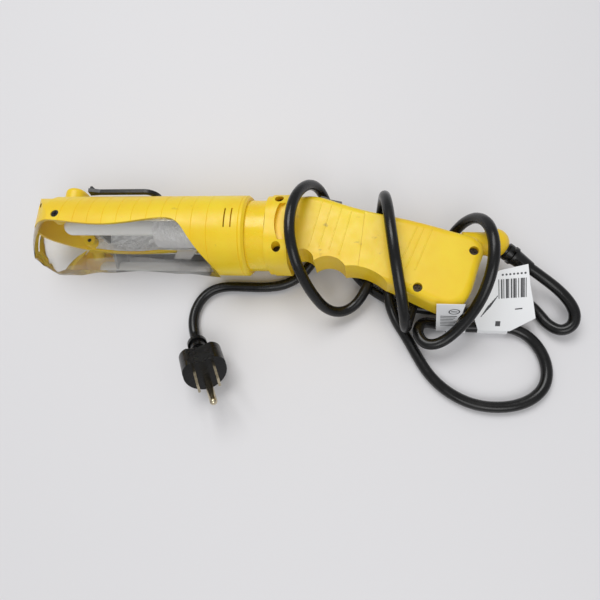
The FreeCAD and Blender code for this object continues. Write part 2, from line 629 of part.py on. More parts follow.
# ---------------------------------------------------------------- cord route and its axis
# Hand-chosen route of the cord as it lies: x and y in the light's frame, height above the bench.
# It leaves the grip, doubles back, passes under the pommel and winds three times round the grip,
# lies in a loop on the bench, and runs back under the grip and the flange to the plug.
CORD_ROUTE = [
    # strain relief, hairpin, and back in under the large label
    (148.5, -17.5, 19), (158.7, -23.5, 15), (167, -30, 13.2), (173, -37, 12.2), (176.5, -44.5, 11),
    (175.3, -52, 9), (168.5, -55.5, 7), (161.5, -51, 5), (157, -43.5, 3.7), (151.5, -36.5, 3.5),
    (144, -35, 3.5), (137.5, -37, 3.5),
    # along the pommel's front edge and under the grip
    (127, -42.5, 3.5), (113, -44, 3.5), (98, -42.5, 3.5), (82, -42, 3.5), (66, -38.5, 3.5),
    (50, -30, 3.5), (36.5, -17, 3.5), (27, 1, 3.5), (22, 18, 4),
    # first turn, over the flange and down in front
    (17.5, 30.5, 12), (12, 37, 27), (5.5, 30.5, 43), (-0.5, 14, 55), (-2, -7, 57.5),
    (1.5, -24, 51.5), (7.5, -35.5, 38), (14, -43, 25), (20.5, -47.2, 15), (29, -47.5, 8.8),
    (37.5, -43, 7.4), (43.5, -35.5, 9.4), (47.3, -26.5, 10.9), (49.8, -16.5, 9), (51.5, -6.5, 4.8),
    (53, 5, 3.5), (54, 17, 4.7),
    # second turn, over the grip
    (55, 25, 11), (56, 29.5, 23), (56.5, 26, 36.5), (58, 13.5, 47), (60, -5, 52), (62.5, -22, 50.5),
    (65.5, -36, 44), (68, -46, 36.5), (69.8, -53.5, 29.6), (70.8, -58.3, 22.6), (71.8, -58.5, 15.2),
    (73.2, -52.8, 10.9), (75.5, -45, 11.2), (78, -37, 11.2), (81.5, -28, 9.6), (88, -15, 5.6),
    (95.5, -2.5, 3.6), (102, 8.5, 8),
    # third turn, over the pommel, and a curl in front of it
    (108.5, 13.5, 20), (114, 11, 34), (118.5, 1.5, 45.5), (120.5, -13, 50), (119.5, -28, 47),
    (115.5, -42.5, 37), (108.5, -54, 25.5), (99.5, -63, 17.5), (91.5, -68, 14.5), (84.3, -68, 12.8),
    (80, -63, 11.6), (79.6, -56.6, 9.8), (83.6, -52, 7.8),
    # through both labels, then the loop on the bench
    (91, -52.3, 5.4), (99.5, -53.4, 4.7), (111, -53.8, 4.6), (124, -53.6, 4.5), (137, -52.8, 4.5),
    (149, -57.3, 3.5), (157, -67.5, 3.5), (160, -80, 3.5), (157, -91.5, 3.5), (147.5, -100, 3.5),
    (133, -104.5, 3.5), (115, -104, 3.5), (99, -97, 3.5), (87, -86, 3.5), (79.5, -73.5, 3.5),
    (73, -61.5, 3.5), (66.2, -51.5, 5), (61.8, -42.5, 10.2),
    # back under the grip and the flange, and out to the plug
    (60.5, -33, 11.4), (58.8, -20, 11.3), (55.5, -6, 11.3), (46, 5.5, 11.3), (33, 8, 11.3),
    (20.5, 2.5, 10.4), (9.5, -8.5, 6.6), (0.5, -20, 3.8), (-11, -27, 3.5), (-25, -29, 3.5),
    (-40, -28.7, 3.5), (-54.5, -28.7, 3.5), (-64.2, -32, 3.5), (-70.8, -39, 3.5), (-74.2, -47.8, 3.5),
    (-74.4, -57, 3.5), (-71.6, -66, 3.6), (-69.1, -69.8, 6.95),
]


def cord_start():
    """Where the cord leaves the strain relief, and which way, in the light's frame."""
    lift = V(0, 0, num("head_radius"))
    first, second = V(*CORD_ROUTE[0]) - lift, V(*CORD_ROUTE[1]) - lift
    return first, (second - first).normalize()


def relief_cylinder(name, radius, start, length):
    """A cylinder on the cord's exit line; start counts from the middle of the boss."""
    tip, way = cord_start()
    reach = num("relief_length") + 4.1
    at = tip - way * (reach - start)
    thing = doc.addObject("Part::Cylinder", name)
    bind(thing, "Radius", radius)
    bind(thing, "Height", length)
    thing.Placement = FreeCAD.Placement(at, FreeCAD.Rotation(V(0, 0, 1), way))
    return thing


def strain_relief():
    """Moulded relief: a foot held in the boss, a ring, a flange with a peg, and a tapered sleeve."""
    tip, way = cord_start()
    reach = num("relief_length") + 4.1
    parts = [relief_cylinder("relief_foot", 4.6, 3.0, 6.3), relief_cylinder("relief_ring", 5.6, 9.2, 2.6),
             relief_cylinder("relief_neck", 4.5, 11.5, 2.5),
             relief_cylinder("relief_flange", 6.0, 13.6, 1.8)]
    sleeve = doc.addObject("Part::Cone", "relief_sleeve")
    sleeve.Radius1 = 5.2
    sleeve.Radius2 = 4.0
    sleeve.Height = reach - 15.4
    sleeve.Placement = FreeCAD.Placement(tip - way * sleeve.Height.Value,
                                         FreeCAD.Rotation(V(0, 0, 1), way))
    peg_root = tip - way * (reach - 14.5) + V(0, 0, 4)
    peg = cylinder("relief_peg", 0.8, 4.4, tuple(peg_root), "z")
    finish("strain_relief", fuse("strain_relief", *parts, sleeve, peg))


def grip_contents():
    depth = num("grip_half_thickness") - num("grip_wall")
    tilt = FreeCAD.Rotation(V(0, 0, 1), -15.5)
    core = box("core_block", (-16, -9, -depth), (16, 9, depth))
    window = box("core_window", (-9.5, -4.6, -depth - 1), (9.5, 4.6, depth + 1))
    for thing in (core, window):
        corner = tilt.multVec(thing.Placement.Base)
        place(thing, (62 + corner.x, -12 + corner.y, corner.z), tilt)
    finish("ballast_core", cut("ballast_core", core, window))
    winding = box("winding_block", (-9.5, -4.6, -depth + 1.2), (9.5, 4.6, depth - 1.2))
    corner = tilt.multVec(winding.Placement.Base)
    place(winding, (62 + corner.x, -12 + corner.y, corner.z), tilt)
    finish("ballast_winding", group("ballast_winding", winding))
    leads = [cylinder("ballast_lead_%d" % index, 0.9, 15.0, (31, -1.5 + 3 * index, 0))
             for index in range(2)]
    finish("ballast_leads", group("ballast_leads", *leads))
    head_leads = [cylinder("lamp_lead_%d" % index, 0.9, 9.0, (-13.6, -1.5 + 3 * index, 0))
                  for index in range(2)]
    finish("lamp_leads", group("lamp_leads", *head_leads))
    bar = box("clamp_bar", (93, -13, -depth), (99, -3.6, depth))
    groove = cylinder("clamp_groove", 3.0, 8.0, (92, -8.3, 0))
    finish("cord_clamp", cut("cord_clamp", bar, groove))


def thumb_switch():
    housing = cut("housing_shell", box("housing_block", (10.6, 7, -7.5), (29.8, 15.1, 7.5)),
                  box("housing_well", (12.6, 10, -4.9), (29.0, 17, 4.9)))
    trunnion = cylinder("rocker_axle_hole", 1.06, 15.4, (20.9, 14, -7.6), "z")
    finish("switch_housing", cut("switch_housing", housing, trunnion))
    rocker = padded("rocker_profile", "XY_Plane", -4.3, 8.6, corners=[
        (13.0, 15.2), (14.2, 27.8), (17.6, 27.0), (21, 24.9), (28.6, 23.4), (28.8, 13.4),
        (20.9, 12.0)])
    axle = cylinder("rocker_axle", 1.0, 14.6, (20.9, 14, -7.3), "z")
    finish("switch_rocker", fuse("switch_rocker", rocker, axle))


# ---------------------------------------------------------------- cord and plug
def cord_axis(points):
    """Straight runs joined by tangent arcs, and the bend radius at each turn."""
    points = [V(*p) for p in points]
    edges, radii, here = [], [], points[0]
    for before, corner, after in zip(points, points[1:], points[2:]):
        arriving, leaving = (corner - before), (after - corner)
        turn = arriving.getAngle(leaving)
        reach = 0.45 * min(arriving.Length, leaving.Length)
        arriving.normalize()
        leaving.normalize()
        start, end = corner - arriving * reach, corner + leaving * reach
        radius = reach / math.tan(turn / 2)
        inward = (leaving - arriving).normalize()
        middle = corner + inward * (radius / math.cos(turn / 2) - radius)
        edges += [Part.LineSegment(here, start).toShape(), Part.Arc(start, middle, end).toShape()]
        radii.append(radius)
        here = end
    edges.append(Part.LineSegment(here, points[-1]).toShape())
    return Part.Wire(edges), radii


def power_cord():
    axis, radii = cord_axis(CORD_ROUTE)
    radius = num("cord_diameter") / 2
    way = V(*CORD_ROUTE[1]) - V(*CORD_ROUTE[0])
    section = Part.Wire([Part.Circle(V(*CORD_ROUTE[0]), way, radius).toShape()])
    tube = axis.makePipeShell([section], True, False)
    expected = math.pi * radius ** 2 * axis.Length
    print("cord length %.1f, smallest bend radii %s" % (axis.Length, sorted(round(r, 1) for r in radii)[:8]))
    print("cord volume %.1f against %.1f" % (tube.Volume, expected))
    finish("power_cord", free_form("power_cord", tube), ON_BENCH)


def plug_frame():
    """Placement of the plug: its own Z points out of the cord end towards the blades' tips."""
    last, before = V(*CORD_ROUTE[-1]), V(*CORD_ROUTE[-2])
    out = (last - before).normalize()
    side = V(0, 0, 1).cross(out).normalize()
    up = out.cross(side)
    level = FreeCAD.Rotation(side, up, out, "ZXY")
    rolled = level.multiply(FreeCAD.Rotation(V(0, 0, 1), num("plug_roll")))
    shift = V(num("origin_shift_x"), num("origin_shift_y"), 0)
    return FreeCAD.Placement(last + shift, rolled)


def plug():
    length, width, depth = num("plug_length"), num("plug_width"), num("plug_depth")
    shoulder = num("plug_shoulder")
    rings = [cylinder("plug_neck", 5.2, shoulder - 3, (0, 0, 0), "z"),
             cylinder("plug_neck_ring", 6.6, 3.0, (0, 0, 2.4), "z")]
    slope = doc.addObject("Part::Cone", "plug_slope")
    slope.Radius1 = 6.0
    slope.Radius2 = 10.6
    slope.Height = 7.0
    place(slope, (0, -4.2, shoulder - 6.5))
    side, low = width / 2, 7.2 - depth
    edges = route((-8, 7.2, 0), ((0, 6.0, 0), (8, 7.2, 0)), ((side - 1.5, 4.6, 0), (side, -1, 0)),
                  ((side - 1.8, -9.6, 0), (6.5, low + 1.9, 0)), ((0, low, 0), (-6.5, low + 1.9, 0)),
                  ((1.8 - side, -9.6, 0), (-side, -1, 0)), ((1.5 - side, 4.6, 0), (-8, 7.2, 0)))
    block = padded("plug_block", "XY_Plane", shoulder, length, edges=edges)
    back_rim = shoulder + 0.01
    rounded = fillet("plug_rounded", block, 1.6,
                     lambda edge: max(v.Point.z for v in edge.Vertexes) < back_rim)
    body = fuse("plug_moulding", rounded, slope, *rings)
    face = shoulder + length
    holes = fuse("plug_holes", *plug_metal("hole", face))
    finish("plug_body", cut("plug_body", body, holes), plug_frame())
    *blades, pin = plug_metal("metal", face)
    finish("plug_blades", group("plug_blades", *blades), plug_frame())
    finish("plug_ground_pin", group("plug_ground_pin", pin), plug_frame())


def plug_metal(name, face):
    """Two flat blades and the round ground pin, from 6 mm inside the face to their tips."""
    blades = []
    for index, side in enumerate((-1, 1)):
        middle = side * num("blade_spacing") / 2
        thick, wide = num("blade_thickness"), num("blade_width")
        blade = box("%s_blade_%d" % (name, index), (middle - thick / 2, -wide / 2, face - 6),
                    (middle + thick / 2, wide / 2, face + num("blade_length")))
        blades.append(blade)
    drop = -num("ground_pin_drop")
    radius, length = num("ground_pin_radius"), num("ground_pin_length")
    shaft = cylinder(name + "_pin_shaft", radius, 6 + length - radius, (0, drop, face - 6), "z")
    nose = sphere(name + "_pin_nose", radius, (0, drop, face + length - radius))
    return blades + [fuse(name + "_pin", shaft, nose)]


# ---------------------------------------------------------------- labels on the cord
LABEL_THICKNESS = 0.35
# Outlines on the labels' own planes: x along the cord, and how far up the plate.
SMALL_LABEL = [(91.5, 0), (110, 0), (105, 8), (102.5, 12), (102.5, 19), (104, 25), (104, 36),
               (87.5, 36)]
LARGE_LABEL = [(117.7, 0), (137.3, 0), (151.9, 9.2), (149.6, 19), (146.5, 30.6), (143.8, 44),
               (127.4, 39.8), (123.5, 36.5), (121, 28), (118.5, 19), (114.9, 8)]


def label(node, outline, foot_y, foot_z, slope, start, end):
    """A printed flag: a plate that leans on a slope, and a sleeve round the cord."""
    rise = math.radians(slope)
    up = V(0, math.cos(rise), math.sin(rise))
    normal = V(0, -math.sin(rise), math.cos(rise))
    corners = [V(x, foot_y, foot_z) + up * reach for x, reach in outline]
    face = Part.Face(Part.makePolygon(corners + corners[:1]))
    plate = face.extrude(normal * LABEL_THICKNESS)
    start, end = V(*start), V(*end)
    sleeve = Part.makeCylinder(4.35, (end - start).Length, start, end - start)
    bore = Part.makeCylinder(4.0, (end - start).Length, start, end - start)
    shape = plate.fuse([sleeve.cut(bore)]).cut(bore)
    finish(node, free_form(node, shape), ON_BENCH)


def labels():
    label("small_flag_label", SMALL_LABEL, -57.0, 7.0, 78, (98, -53.5, 4.7), (110, -53.5, 4.7))
    label("large_flag_label", LARGE_LABEL, -56.3, 7.45, 34, (117.5, -53.3, 4.52), (136, -53.3, 4.52))


# ---------------------------------------------------------------- build, check and export
head_back_shell(lens_side())
clear_lens(lens_side())
neck_tube()
lamp()
reflector_and_support()
head_screws()
hook_and_pin()
handle_shells()
strain_relief()
grip_contents()
thumb_switch()
power_cord()
plug()
labels()

doc.recompute()
faults = 0
for thing in doc.Objects:
    if "Invalid" in thing.State or "Error" in thing.State:
        print("FAULT", thing.Name, thing.Label, thing.State)
        faults += 1
os.makedirs("parts", exist_ok=True)
low, high = [1e9] * 3, [-1e9] * 3
for thing in finished:
    shape = thing.Shape
    if shape.isNull() or not shape.isValid() or not shape.Solids:
        print("BAD SHAPE", thing.Label, shape.isNull(), len(shape.Solids))
        faults += 1
        continue
    bounds = shape.optimalBoundingBox()
    print("%-20s solids %d volume %9.1f  x %7.1f %7.1f  y %7.1f %7.1f  z %6.1f %6.1f" % (
        thing.Label, len(shape.Solids), shape.Volume, bounds.XMin, bounds.XMax, bounds.YMin,
        bounds.YMax, bounds.ZMin, bounds.ZMax))
    if thing.Placement.Base.z > 1 and thing.Label not in ("plug_body", "plug_blades", "plug_ground_pin"):
        low = [min(low[0], bounds.XMin), min(low[1], bounds.YMin), min(low[2], bounds.ZMin)]
        high = [max(high[0], bounds.XMax), max(high[1], bounds.YMax), max(high[2], bounds.ZMax)]
    shape.exportStep("parts/%s.step" % thing.Label)
if faults:
    raise SystemExit("%d faults" % faults)
print("light without its cord:", [round(v, 3) for v in low], [round(v, 3) for v in high])
print("built %d sub-parts" % len(finished))
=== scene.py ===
import json
import math

import bmesh
import bpy
from mathutils import Matrix, Vector


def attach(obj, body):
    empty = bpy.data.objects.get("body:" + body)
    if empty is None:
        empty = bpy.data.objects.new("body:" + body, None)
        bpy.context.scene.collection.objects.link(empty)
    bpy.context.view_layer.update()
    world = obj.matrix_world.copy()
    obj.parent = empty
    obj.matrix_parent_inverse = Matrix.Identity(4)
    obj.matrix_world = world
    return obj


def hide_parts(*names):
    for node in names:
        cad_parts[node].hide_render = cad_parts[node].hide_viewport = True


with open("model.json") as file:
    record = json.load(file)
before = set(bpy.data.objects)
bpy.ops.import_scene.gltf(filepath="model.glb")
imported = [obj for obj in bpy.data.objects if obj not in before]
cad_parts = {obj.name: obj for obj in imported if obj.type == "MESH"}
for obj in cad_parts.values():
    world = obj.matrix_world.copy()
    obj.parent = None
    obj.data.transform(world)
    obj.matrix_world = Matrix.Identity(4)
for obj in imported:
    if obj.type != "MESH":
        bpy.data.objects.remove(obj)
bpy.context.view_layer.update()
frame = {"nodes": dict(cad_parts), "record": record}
nodes = frame["nodes"]
MM = 0.001
# The light's own frame (X along the head's axis, heights from the bench) in the row frame.
SHIFT = Vector((18.846, 7.674, 0)) * MM
AXIS_HEIGHT = 27.0


def place(x, y, z):
    """A point in the light's own frame, in millimetres above the bench, as a row-frame point."""
    return Vector((x, y, z)) * MM + SHIFT


# ---------------------------------------------------------------- camera
LENS_LENGTH = 30
SENSOR_WIDTH = 36
CAMERA_AT = (48.22, -135.49, 333.10)
CAMERA_FORWARD = (-0.13746, 0.28210, -0.94949)
CAMERA_RIGHT = (0.99026, 0.06043, -0.12540)


def make_camera():
    data = bpy.data.cameras.new("camera")
    data.lens = LENS_LENGTH
    data.sensor_width = SENSOR_WIDTH
    data.clip_start = 0.01
    camera = bpy.data.objects.new("camera", data)
    bpy.context.scene.collection.objects.link(camera)
    forward = Vector(CAMERA_FORWARD).normalized()
    right = Vector(CAMERA_RIGHT).normalized()
    up = right.cross(forward).normalized()
    turn = Matrix((right, up, -forward)).transposed().to_4x4()
    camera.matrix_world = Matrix.Translation(place(*CAMERA_AT)) @ turn
    bpy.context.scene.camera = camera


make_camera()

# ---------------------------------------------------------------- cord
CORD_DIAMETER = 0.007
# The cord's route, in metres, in the light's own frame.
CORD_ROUTE = [
    (0.1485, -0.0175, 0.019), (0.1587, -0.0235, 0.015), (0.167, -0.03, 0.0132),
    (0.173, -0.037, 0.0122), (0.1765, -0.0445, 0.011), (0.1753, -0.052, 0.009),
    (0.1685, -0.0555, 0.007), (0.1615, -0.051, 0.005), (0.157, -0.0435, 0.0037),
    (0.1515, -0.0365, 0.0035), (0.144, -0.035, 0.0035), (0.1375, -0.037, 0.0035),
    (0.127, -0.0425, 0.0035), (0.113, -0.044, 0.0035), (0.098, -0.0425, 0.0035),
    (0.082, -0.042, 0.0035), (0.066, -0.0385, 0.0035), (0.05, -0.03, 0.0035),
    (0.0365, -0.017, 0.0035), (0.027, 0.001, 0.0035), (0.022, 0.018, 0.004),
    (0.0175, 0.0305, 0.012), (0.012, 0.037, 0.027), (0.0055, 0.0305, 0.043),
    (-0.0005, 0.014, 0.055), (-0.002, -0.007, 0.0575), (0.0015, -0.024, 0.0515),
    (0.0075, -0.0355, 0.038), (0.014, -0.043, 0.025), (0.0205, -0.0472, 0.015),
    (0.029, -0.0475, 0.0088), (0.0375, -0.043, 0.0074), (0.0435, -0.0355, 0.0094),
    (0.0473, -0.0265, 0.0109), (0.0498, -0.0165, 0.009), (0.0515, -0.0065, 0.0048),
    (0.053, 0.005, 0.0035), (0.054, 0.017, 0.0047), (0.055, 0.025, 0.011), (0.056, 0.0295, 0.023),
    (0.0565, 0.026, 0.0365), (0.058, 0.0135, 0.047), (0.06, -0.005, 0.052),
    (0.0625, -0.022, 0.0505), (0.0655, -0.036, 0.044), (0.068, -0.046, 0.0365),
    (0.0698, -0.0535, 0.0296), (0.0708, -0.0583, 0.0226), (0.0718, -0.0585, 0.0152),
    (0.0732, -0.0528, 0.0109), (0.0755, -0.045, 0.0112), (0.078, -0.037, 0.0112),
    (0.0815, -0.028, 0.0096), (0.088, -0.015, 0.0056), (0.0955, -0.0025, 0.0036),
    (0.102, 0.0085, 0.008), (0.1085, 0.0135, 0.02), (0.114, 0.011, 0.034),
    (0.1185, 0.0015, 0.0455), (0.1205, -0.013, 0.05), (0.1195, -0.028, 0.047),
    (0.1155, -0.0425, 0.037), (0.1085, -0.054, 0.0255), (0.0995, -0.063, 0.0175),
    (0.0915, -0.068, 0.0145), (0.0843, -0.068, 0.0128), (0.08, -0.063, 0.0116),
    (0.0796, -0.0566, 0.0098), (0.0836, -0.052, 0.0078), (0.091, -0.0523, 0.0054),
    (0.0995, -0.0534, 0.0047), (0.111, -0.0538, 0.0046), (0.124, -0.0536, 0.0045),
    (0.137, -0.0528, 0.0045), (0.149, -0.0573, 0.0035), (0.157, -0.0675, 0.0035),
    (0.16, -0.08, 0.0035), (0.157, -0.0915, 0.0035), (0.1475, -0.1, 0.0035),
    (0.133, -0.1045, 0.0035), (0.115, -0.104, 0.0035), (0.099, -0.097, 0.0035),
    (0.087, -0.086, 0.0035), (0.0795, -0.0735, 0.0035), (0.073, -0.0615, 0.0035),
    (0.0662, -0.0515, 0.005), (0.0618, -0.0425, 0.0102), (0.0605, -0.033, 0.0114),
    (0.0588, -0.02, 0.0113), (0.0555, -0.006, 0.0113), (0.046, 0.0055, 0.0113),
    (0.033, 0.008, 0.0113), (0.0205, 0.0025, 0.0104), (0.0095, -0.0085, 0.0066),
    (0.0005, -0.02, 0.0038), (-0.011, -0.027, 0.0035), (-0.025, -0.029, 0.0035),
    (-0.04, -0.0287, 0.0035), (-0.0545, -0.0287, 0.0035), (-0.0642, -0.032, 0.0035),
    (-0.0708, -0.039, 0.0035), (-0.0742, -0.0478, 0.0035), (-0.0744, -0.057, 0.0035),
    (-0.0716, -0.066, 0.0036), (-0.0691, -0.0698, 0.00695),
]


def make_cord():
    data = bpy.data.curves.new("cord", "CURVE")
    data.dimensions = "3D"
    spline = data.splines.new("NURBS")
    spline.points.add(len(CORD_ROUTE) - 1)
    # The points carry the cord's radius, so that the curve's own box is right as well.
    for point, at in zip(spline.points, CORD_ROUTE):
        point.co = (*(Vector(at) + SHIFT), 1)
        point.radius = CORD_DIAMETER / 2
    spline.order_u = 3
    spline.use_endpoint_u = True
    spline.resolution_u = 8
    data.bevel_depth = 1.0
    data.bevel_resolution = 5
    data.use_fill_caps = True
    cord = bpy.data.objects.new("cord", data)
    bpy.context.scene.collection.objects.link(cord)
    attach(cord, "grip")
    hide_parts("power_cord")
    return cord


cord = make_cord()


# ---------------------------------------------------------------- materials
class Shader:
    """A node material with a Principled shader and a few shorthands."""

    def __init__(self, name, color, roughness=0.4, **settings):
        self.material = bpy.data.materials.new(name)
        self.material.use_nodes = True
        self.nodes = self.material.node_tree.nodes
        self.links = self.material.node_tree.links
        self.base = self.nodes["Principled BSDF"]
        self.base.inputs["Base Color"].default_value = (*color, 1)
        self.base.inputs["Roughness"].default_value = roughness
        for socket, value in settings.items():
            self.base.inputs[socket.replace("_", " ")].default_value = value
        self.material.diffuse_color = (*color, 1)

    def noise(self, scale, detail=3.0, stretch=(1, 1, 1), roughness=0.55):
        coords = self.nodes.new("ShaderNodeTexCoord")
        mapping = self.nodes.new("ShaderNodeMapping")
        mapping.inputs["Scale"].default_value = stretch
        texture = self.nodes.new("ShaderNodeTexNoise")
        texture.inputs["Scale"].default_value = scale
        texture.inputs["Detail"].default_value = detail
        texture.inputs["Roughness"].default_value = roughness
        self.links.new(coords.outputs["Object"], mapping.inputs["Vector"])
        self.links.new(mapping.outputs["Vector"], texture.inputs["Vector"])
        return texture.outputs["Fac"]

    def ramp(self, value, stops):
        """Turn a value into a colour by a list of stops."""
        ramp = self.nodes.new("ShaderNodeValToRGB")
        points = ramp.color_ramp.elements
        while len(points) < len(stops):
            points.new(0.5)
        for point, (at, color) in zip(points, stops):
            point.position = at
            point.color = (*color, 1)
        self.links.new(value, ramp.inputs["Fac"])
        return ramp.outputs["Color"]

    def mix(self, factor, first, second):
        """Blend two colours, each a colour or a node's output, by a node's output."""
        mix = self.nodes.new("ShaderNodeMix")
        mix.data_type = "RGBA"
        for socket, value in ((0, factor), (6, first), (7, second)):
            if hasattr(value, "node"):
                self.links.new(value, mix.inputs[socket])
            else:
                mix.inputs[socket].default_value = (*value, 1)
        return mix.outputs[2]

    def feed(self, socket, output):
        self.links.new(output, self.base.inputs[socket])

    def bump(self, value, strength, distance=0.0002):
        bump = self.nodes.new("ShaderNodeBump")
        bump.inputs["Strength"].default_value = strength
        bump.inputs["Distance"].default_value = distance
        self.links.new(value, bump.inputs["Height"])
        self.links.new(bump.outputs["Normal"], self.base.inputs["Normal"])


def grey(value):
    return (value, value, value)


GRIME = (0.20, 0.13, 0.03)
DUST = (0.018, 0.017, 0.016)


def moulded_yellow(name, color, shade, roughness):
    """Yellow plastic: mottled colour, light scuffs and a few dark smudges."""
    paint = Shader(name, color, roughness, Specular_IOR_Level=0.5, Subsurface_Weight=0.12,
                   Subsurface_Scale=0.003)
    paint.base.inputs["Subsurface Radius"].default_value = (1.0, 0.45, 0.05)
    mottle = paint.ramp(paint.noise(22, 4), [(0.35, grey(0)), (0.7, grey(1))])
    tone = paint.mix(mottle, color, shade)
    smudge = paint.ramp(paint.noise(95, 5, (1, 1.6, 1)), [(0.66, grey(0)), (0.80, grey(0.75))])
    tone = paint.mix(smudge, tone, GRIME)
    paint.feed("Base Color", tone)
    low, high = roughness - 0.06, roughness + 0.14
    paint.feed("Roughness", paint.ramp(paint.noise(160, 4), [(0.3, grey(low)), (0.75, grey(high))]))
    paint.bump(paint.noise(700, 2), 0.15, 0.0001)
    return paint.material


def black_rubber(name, dust_scale, roughness):
    """Black rubber or plastic with a little dust and an uneven gloss."""
    rubber = Shader(name, grey(0.005), roughness, Specular_IOR_Level=0.42)
    dust = rubber.ramp(rubber.noise(dust_scale, 5), [(0.5, grey(0.004)), (0.9, DUST)])
    rubber.feed("Base Color", dust)
    rubber.feed("Roughness", rubber.ramp(rubber.noise(120, 3), [
        (0.3, grey(roughness - 0.08)), (0.7, grey(roughness + 0.12))]))
    rubber.bump(rubber.noise(380, 3), 0.2, 0.00015)
    return rubber.material


PLASTIC_GLOSS = 0.06
PLASTIC_IOR = 1.38


def clear_plastic(name):
    """Clear cover: see-through, a faint haze that thickens at a slant, and a glossy surface."""
    shader = Shader(name, (0.95, 0.95, 0.93), PLASTIC_GLOSS)
    new, link = shader.nodes.new, shader.links.new
    through = new("ShaderNodeBsdfTransparent")
    through.inputs["Color"].default_value = (0.96, 0.96, 0.95, 1)
    haze = new("ShaderNodeBsdfTranslucent")
    haze.inputs["Color"].default_value = (0.92, 0.92, 0.90, 1)
    shine = new("ShaderNodeBsdfGlossy")
    shine.inputs["Roughness"].default_value = PLASTIC_GLOSS
    slant = new("ShaderNodeLayerWeight")
    slant.inputs["Blend"].default_value = 0.35
    fresnel = new("ShaderNodeFresnel")
    fresnel.inputs["IOR"].default_value = PLASTIC_IOR
    amount = shader.ramp(slant.outputs["Facing"], [(0.1, grey(0.03)), (0.9, grey(0.30))])
    hazy, whole = new("ShaderNodeMixShader"), new("ShaderNodeMixShader")
    link(amount, hazy.inputs["Fac"])
    link(through.outputs["BSDF"], hazy.inputs[1])
    link(haze.outputs["BSDF"], hazy.inputs[2])
    link(fresnel.outputs["Fac"], whole.inputs["Fac"])
    link(hazy.outputs["Shader"], whole.inputs[1])
    link(shine.outputs["BSDF"], whole.inputs[2])
    link(whole.outputs["Shader"], shader.nodes["Material Output"].inputs["Surface"])
    return shader.material


def crinkled_foil(name):
    """Bright foil whose crumples are all in the bumps."""
    foil = Shader(name, (0.88, 0.88, 0.89), 0.3, Metallic=0.55)
    foil.bump(foil.noise(150, 5, roughness=0.7), 1.0, 0.003)
    return foil.material


def metal(name, color, roughness):
    """Bare metal with darker patches."""
    shader = Shader(name, color, roughness, Metallic=1.0)
    darker = tuple(c * 0.6 for c in color)
    patches = shader.ramp(shader.noise(300, 4), [(0.4, grey(0)), (0.75, grey(1))])
    shader.feed("Base Color", shader.mix(patches, color, darker))
    return shader.material


YELLOW = (0.93, 0.68, 0.018)
AMBER = (0.88, 0.56, 0.012)
INK = (0.03, 0.03, 0.035)
MATERIALS = {
    "yellow_shell": moulded_yellow("yellow_shell", YELLOW, AMBER, 0.36),
    "yellow_neck": moulded_yellow("yellow_neck", YELLOW, AMBER, 0.22),
    "clear_lens": clear_plastic("clear_lens"),
    "white_glass": Shader("white_glass", (0.86, 0.86, 0.84), 0.12, Coat_Weight=0.6).material,
    "white_base": Shader("white_base", (0.75, 0.73, 0.68), 0.45).material,
    "grey_socket": Shader("grey_socket", (0.30, 0.30, 0.29), 0.5).material,
    "reflector_foil": crinkled_foil("reflector_foil"),
    "black_plastic": black_rubber("black_plastic", 60, 0.33),
    "black_rubber": black_rubber("black_rubber", 40, 0.24),
    # The screws' steel is near black: painted shade standing in for the dark recessed screw holes.
    "screw_steel": metal("screw_steel", (0.07, 0.055, 0.04), 0.45),
    "pin_steel": metal("pin_steel", (0.5, 0.5, 0.5), 0.25),
    "plug_brass": metal("plug_brass", (0.66, 0.58, 0.42), 0.25),
    "core_steel": metal("core_steel", (0.32, 0.32, 0.32), 0.4),
    "winding_copper": metal("winding_copper", (0.55, 0.24, 0.10), 0.3),
    "lead_insulation": Shader("lead_insulation", (0.8, 0.8, 0.8), 0.4).material,
    "label_white": Shader("label_white", (0.86, 0.87, 0.88), 0.22).material,
    "ink": Shader("ink", INK, 0.3).material,
}


def paint(thing, slot):
    """Give a thing the material of a slot and no other."""
    thing.data.materials.clear()
    thing.data.materials.append(MATERIALS[slot])


for part in frame["record"]["subparts"]:
    paint(nodes[part["node"]], part["material_slot"])
paint(cord, "black_rubber")

# How far each node's sharper edges are rounded, in millimetres.
BEVELS = {"head_back_shell": 0.3, "neck_tube": 0.3, "handle_shell_upper": 0.5,
          "handle_shell_lower": 0.5, "strain_relief": 0.4, "plug_body": 0.5, "hook": 0.5,
          "switch_rocker": 0.5, "plug_blades": 0.25, "handle_screws": 0.2, "tip_screw": 0.2,
          "side_screws": 0.2, "lamp_base": 0.6, "lamp_socket": 0.3}


BEVEL_ANGLE = math.radians(32)
SMOOTH_ANGLE = math.radians(30)


def soften(node, width):
    """Round a node's sharper edges a little."""
    thing = nodes[node]
    bevel = thing.modifiers.new("edge", "BEVEL")
    bevel.width = width * MM
    bevel.segments = 2
    bevel.limit_method = "ANGLE"
    bevel.angle_limit = BEVEL_ANGLE


for node, thing in nodes.items():
    thing.data.shade_smooth()
    thing.data.set_sharp_from_angle(angle=SMOOTH_ANGLE)
    if node in BEVELS:
        soften(node, BEVELS[node])


# ---------------------------------------------------------------- the clear lens, as one thin sheet
# Seen from the side: the edge where lens and shell meet, and the lens's front line.
PARTING = [(-200, 0), (-182, 0), (-160, -0.8), (-140, -2.8), (-125, -3.2), (-105, -1.2), (-86, 1.0),
           (-79, 0.2), (-74, -3.2), (-68, -11), (-60.5, -20), (-53, -26.5)]
LENS_FRONT = [(-188.8, -11), (-187.5, -17), (-184.5, -22.5), (-180, -26.3), (-174, -28.6),
              (-166, -29), (-156, -27.2), (-138, -23.4), (-115, -21.2), (-95, -22.3),
              (-75, -24.6), (-60, -26.4), (-53, -26.9)]
# Half the head's width at the rounded tip.
TIP_ROUND = [(-188.5, 0.2), (-187.4, 6.5), (-184.3, 12.6), (-178.7, 18.8), (-173, 23.6),
             (-167.5, 26.4), (-164, 27)]
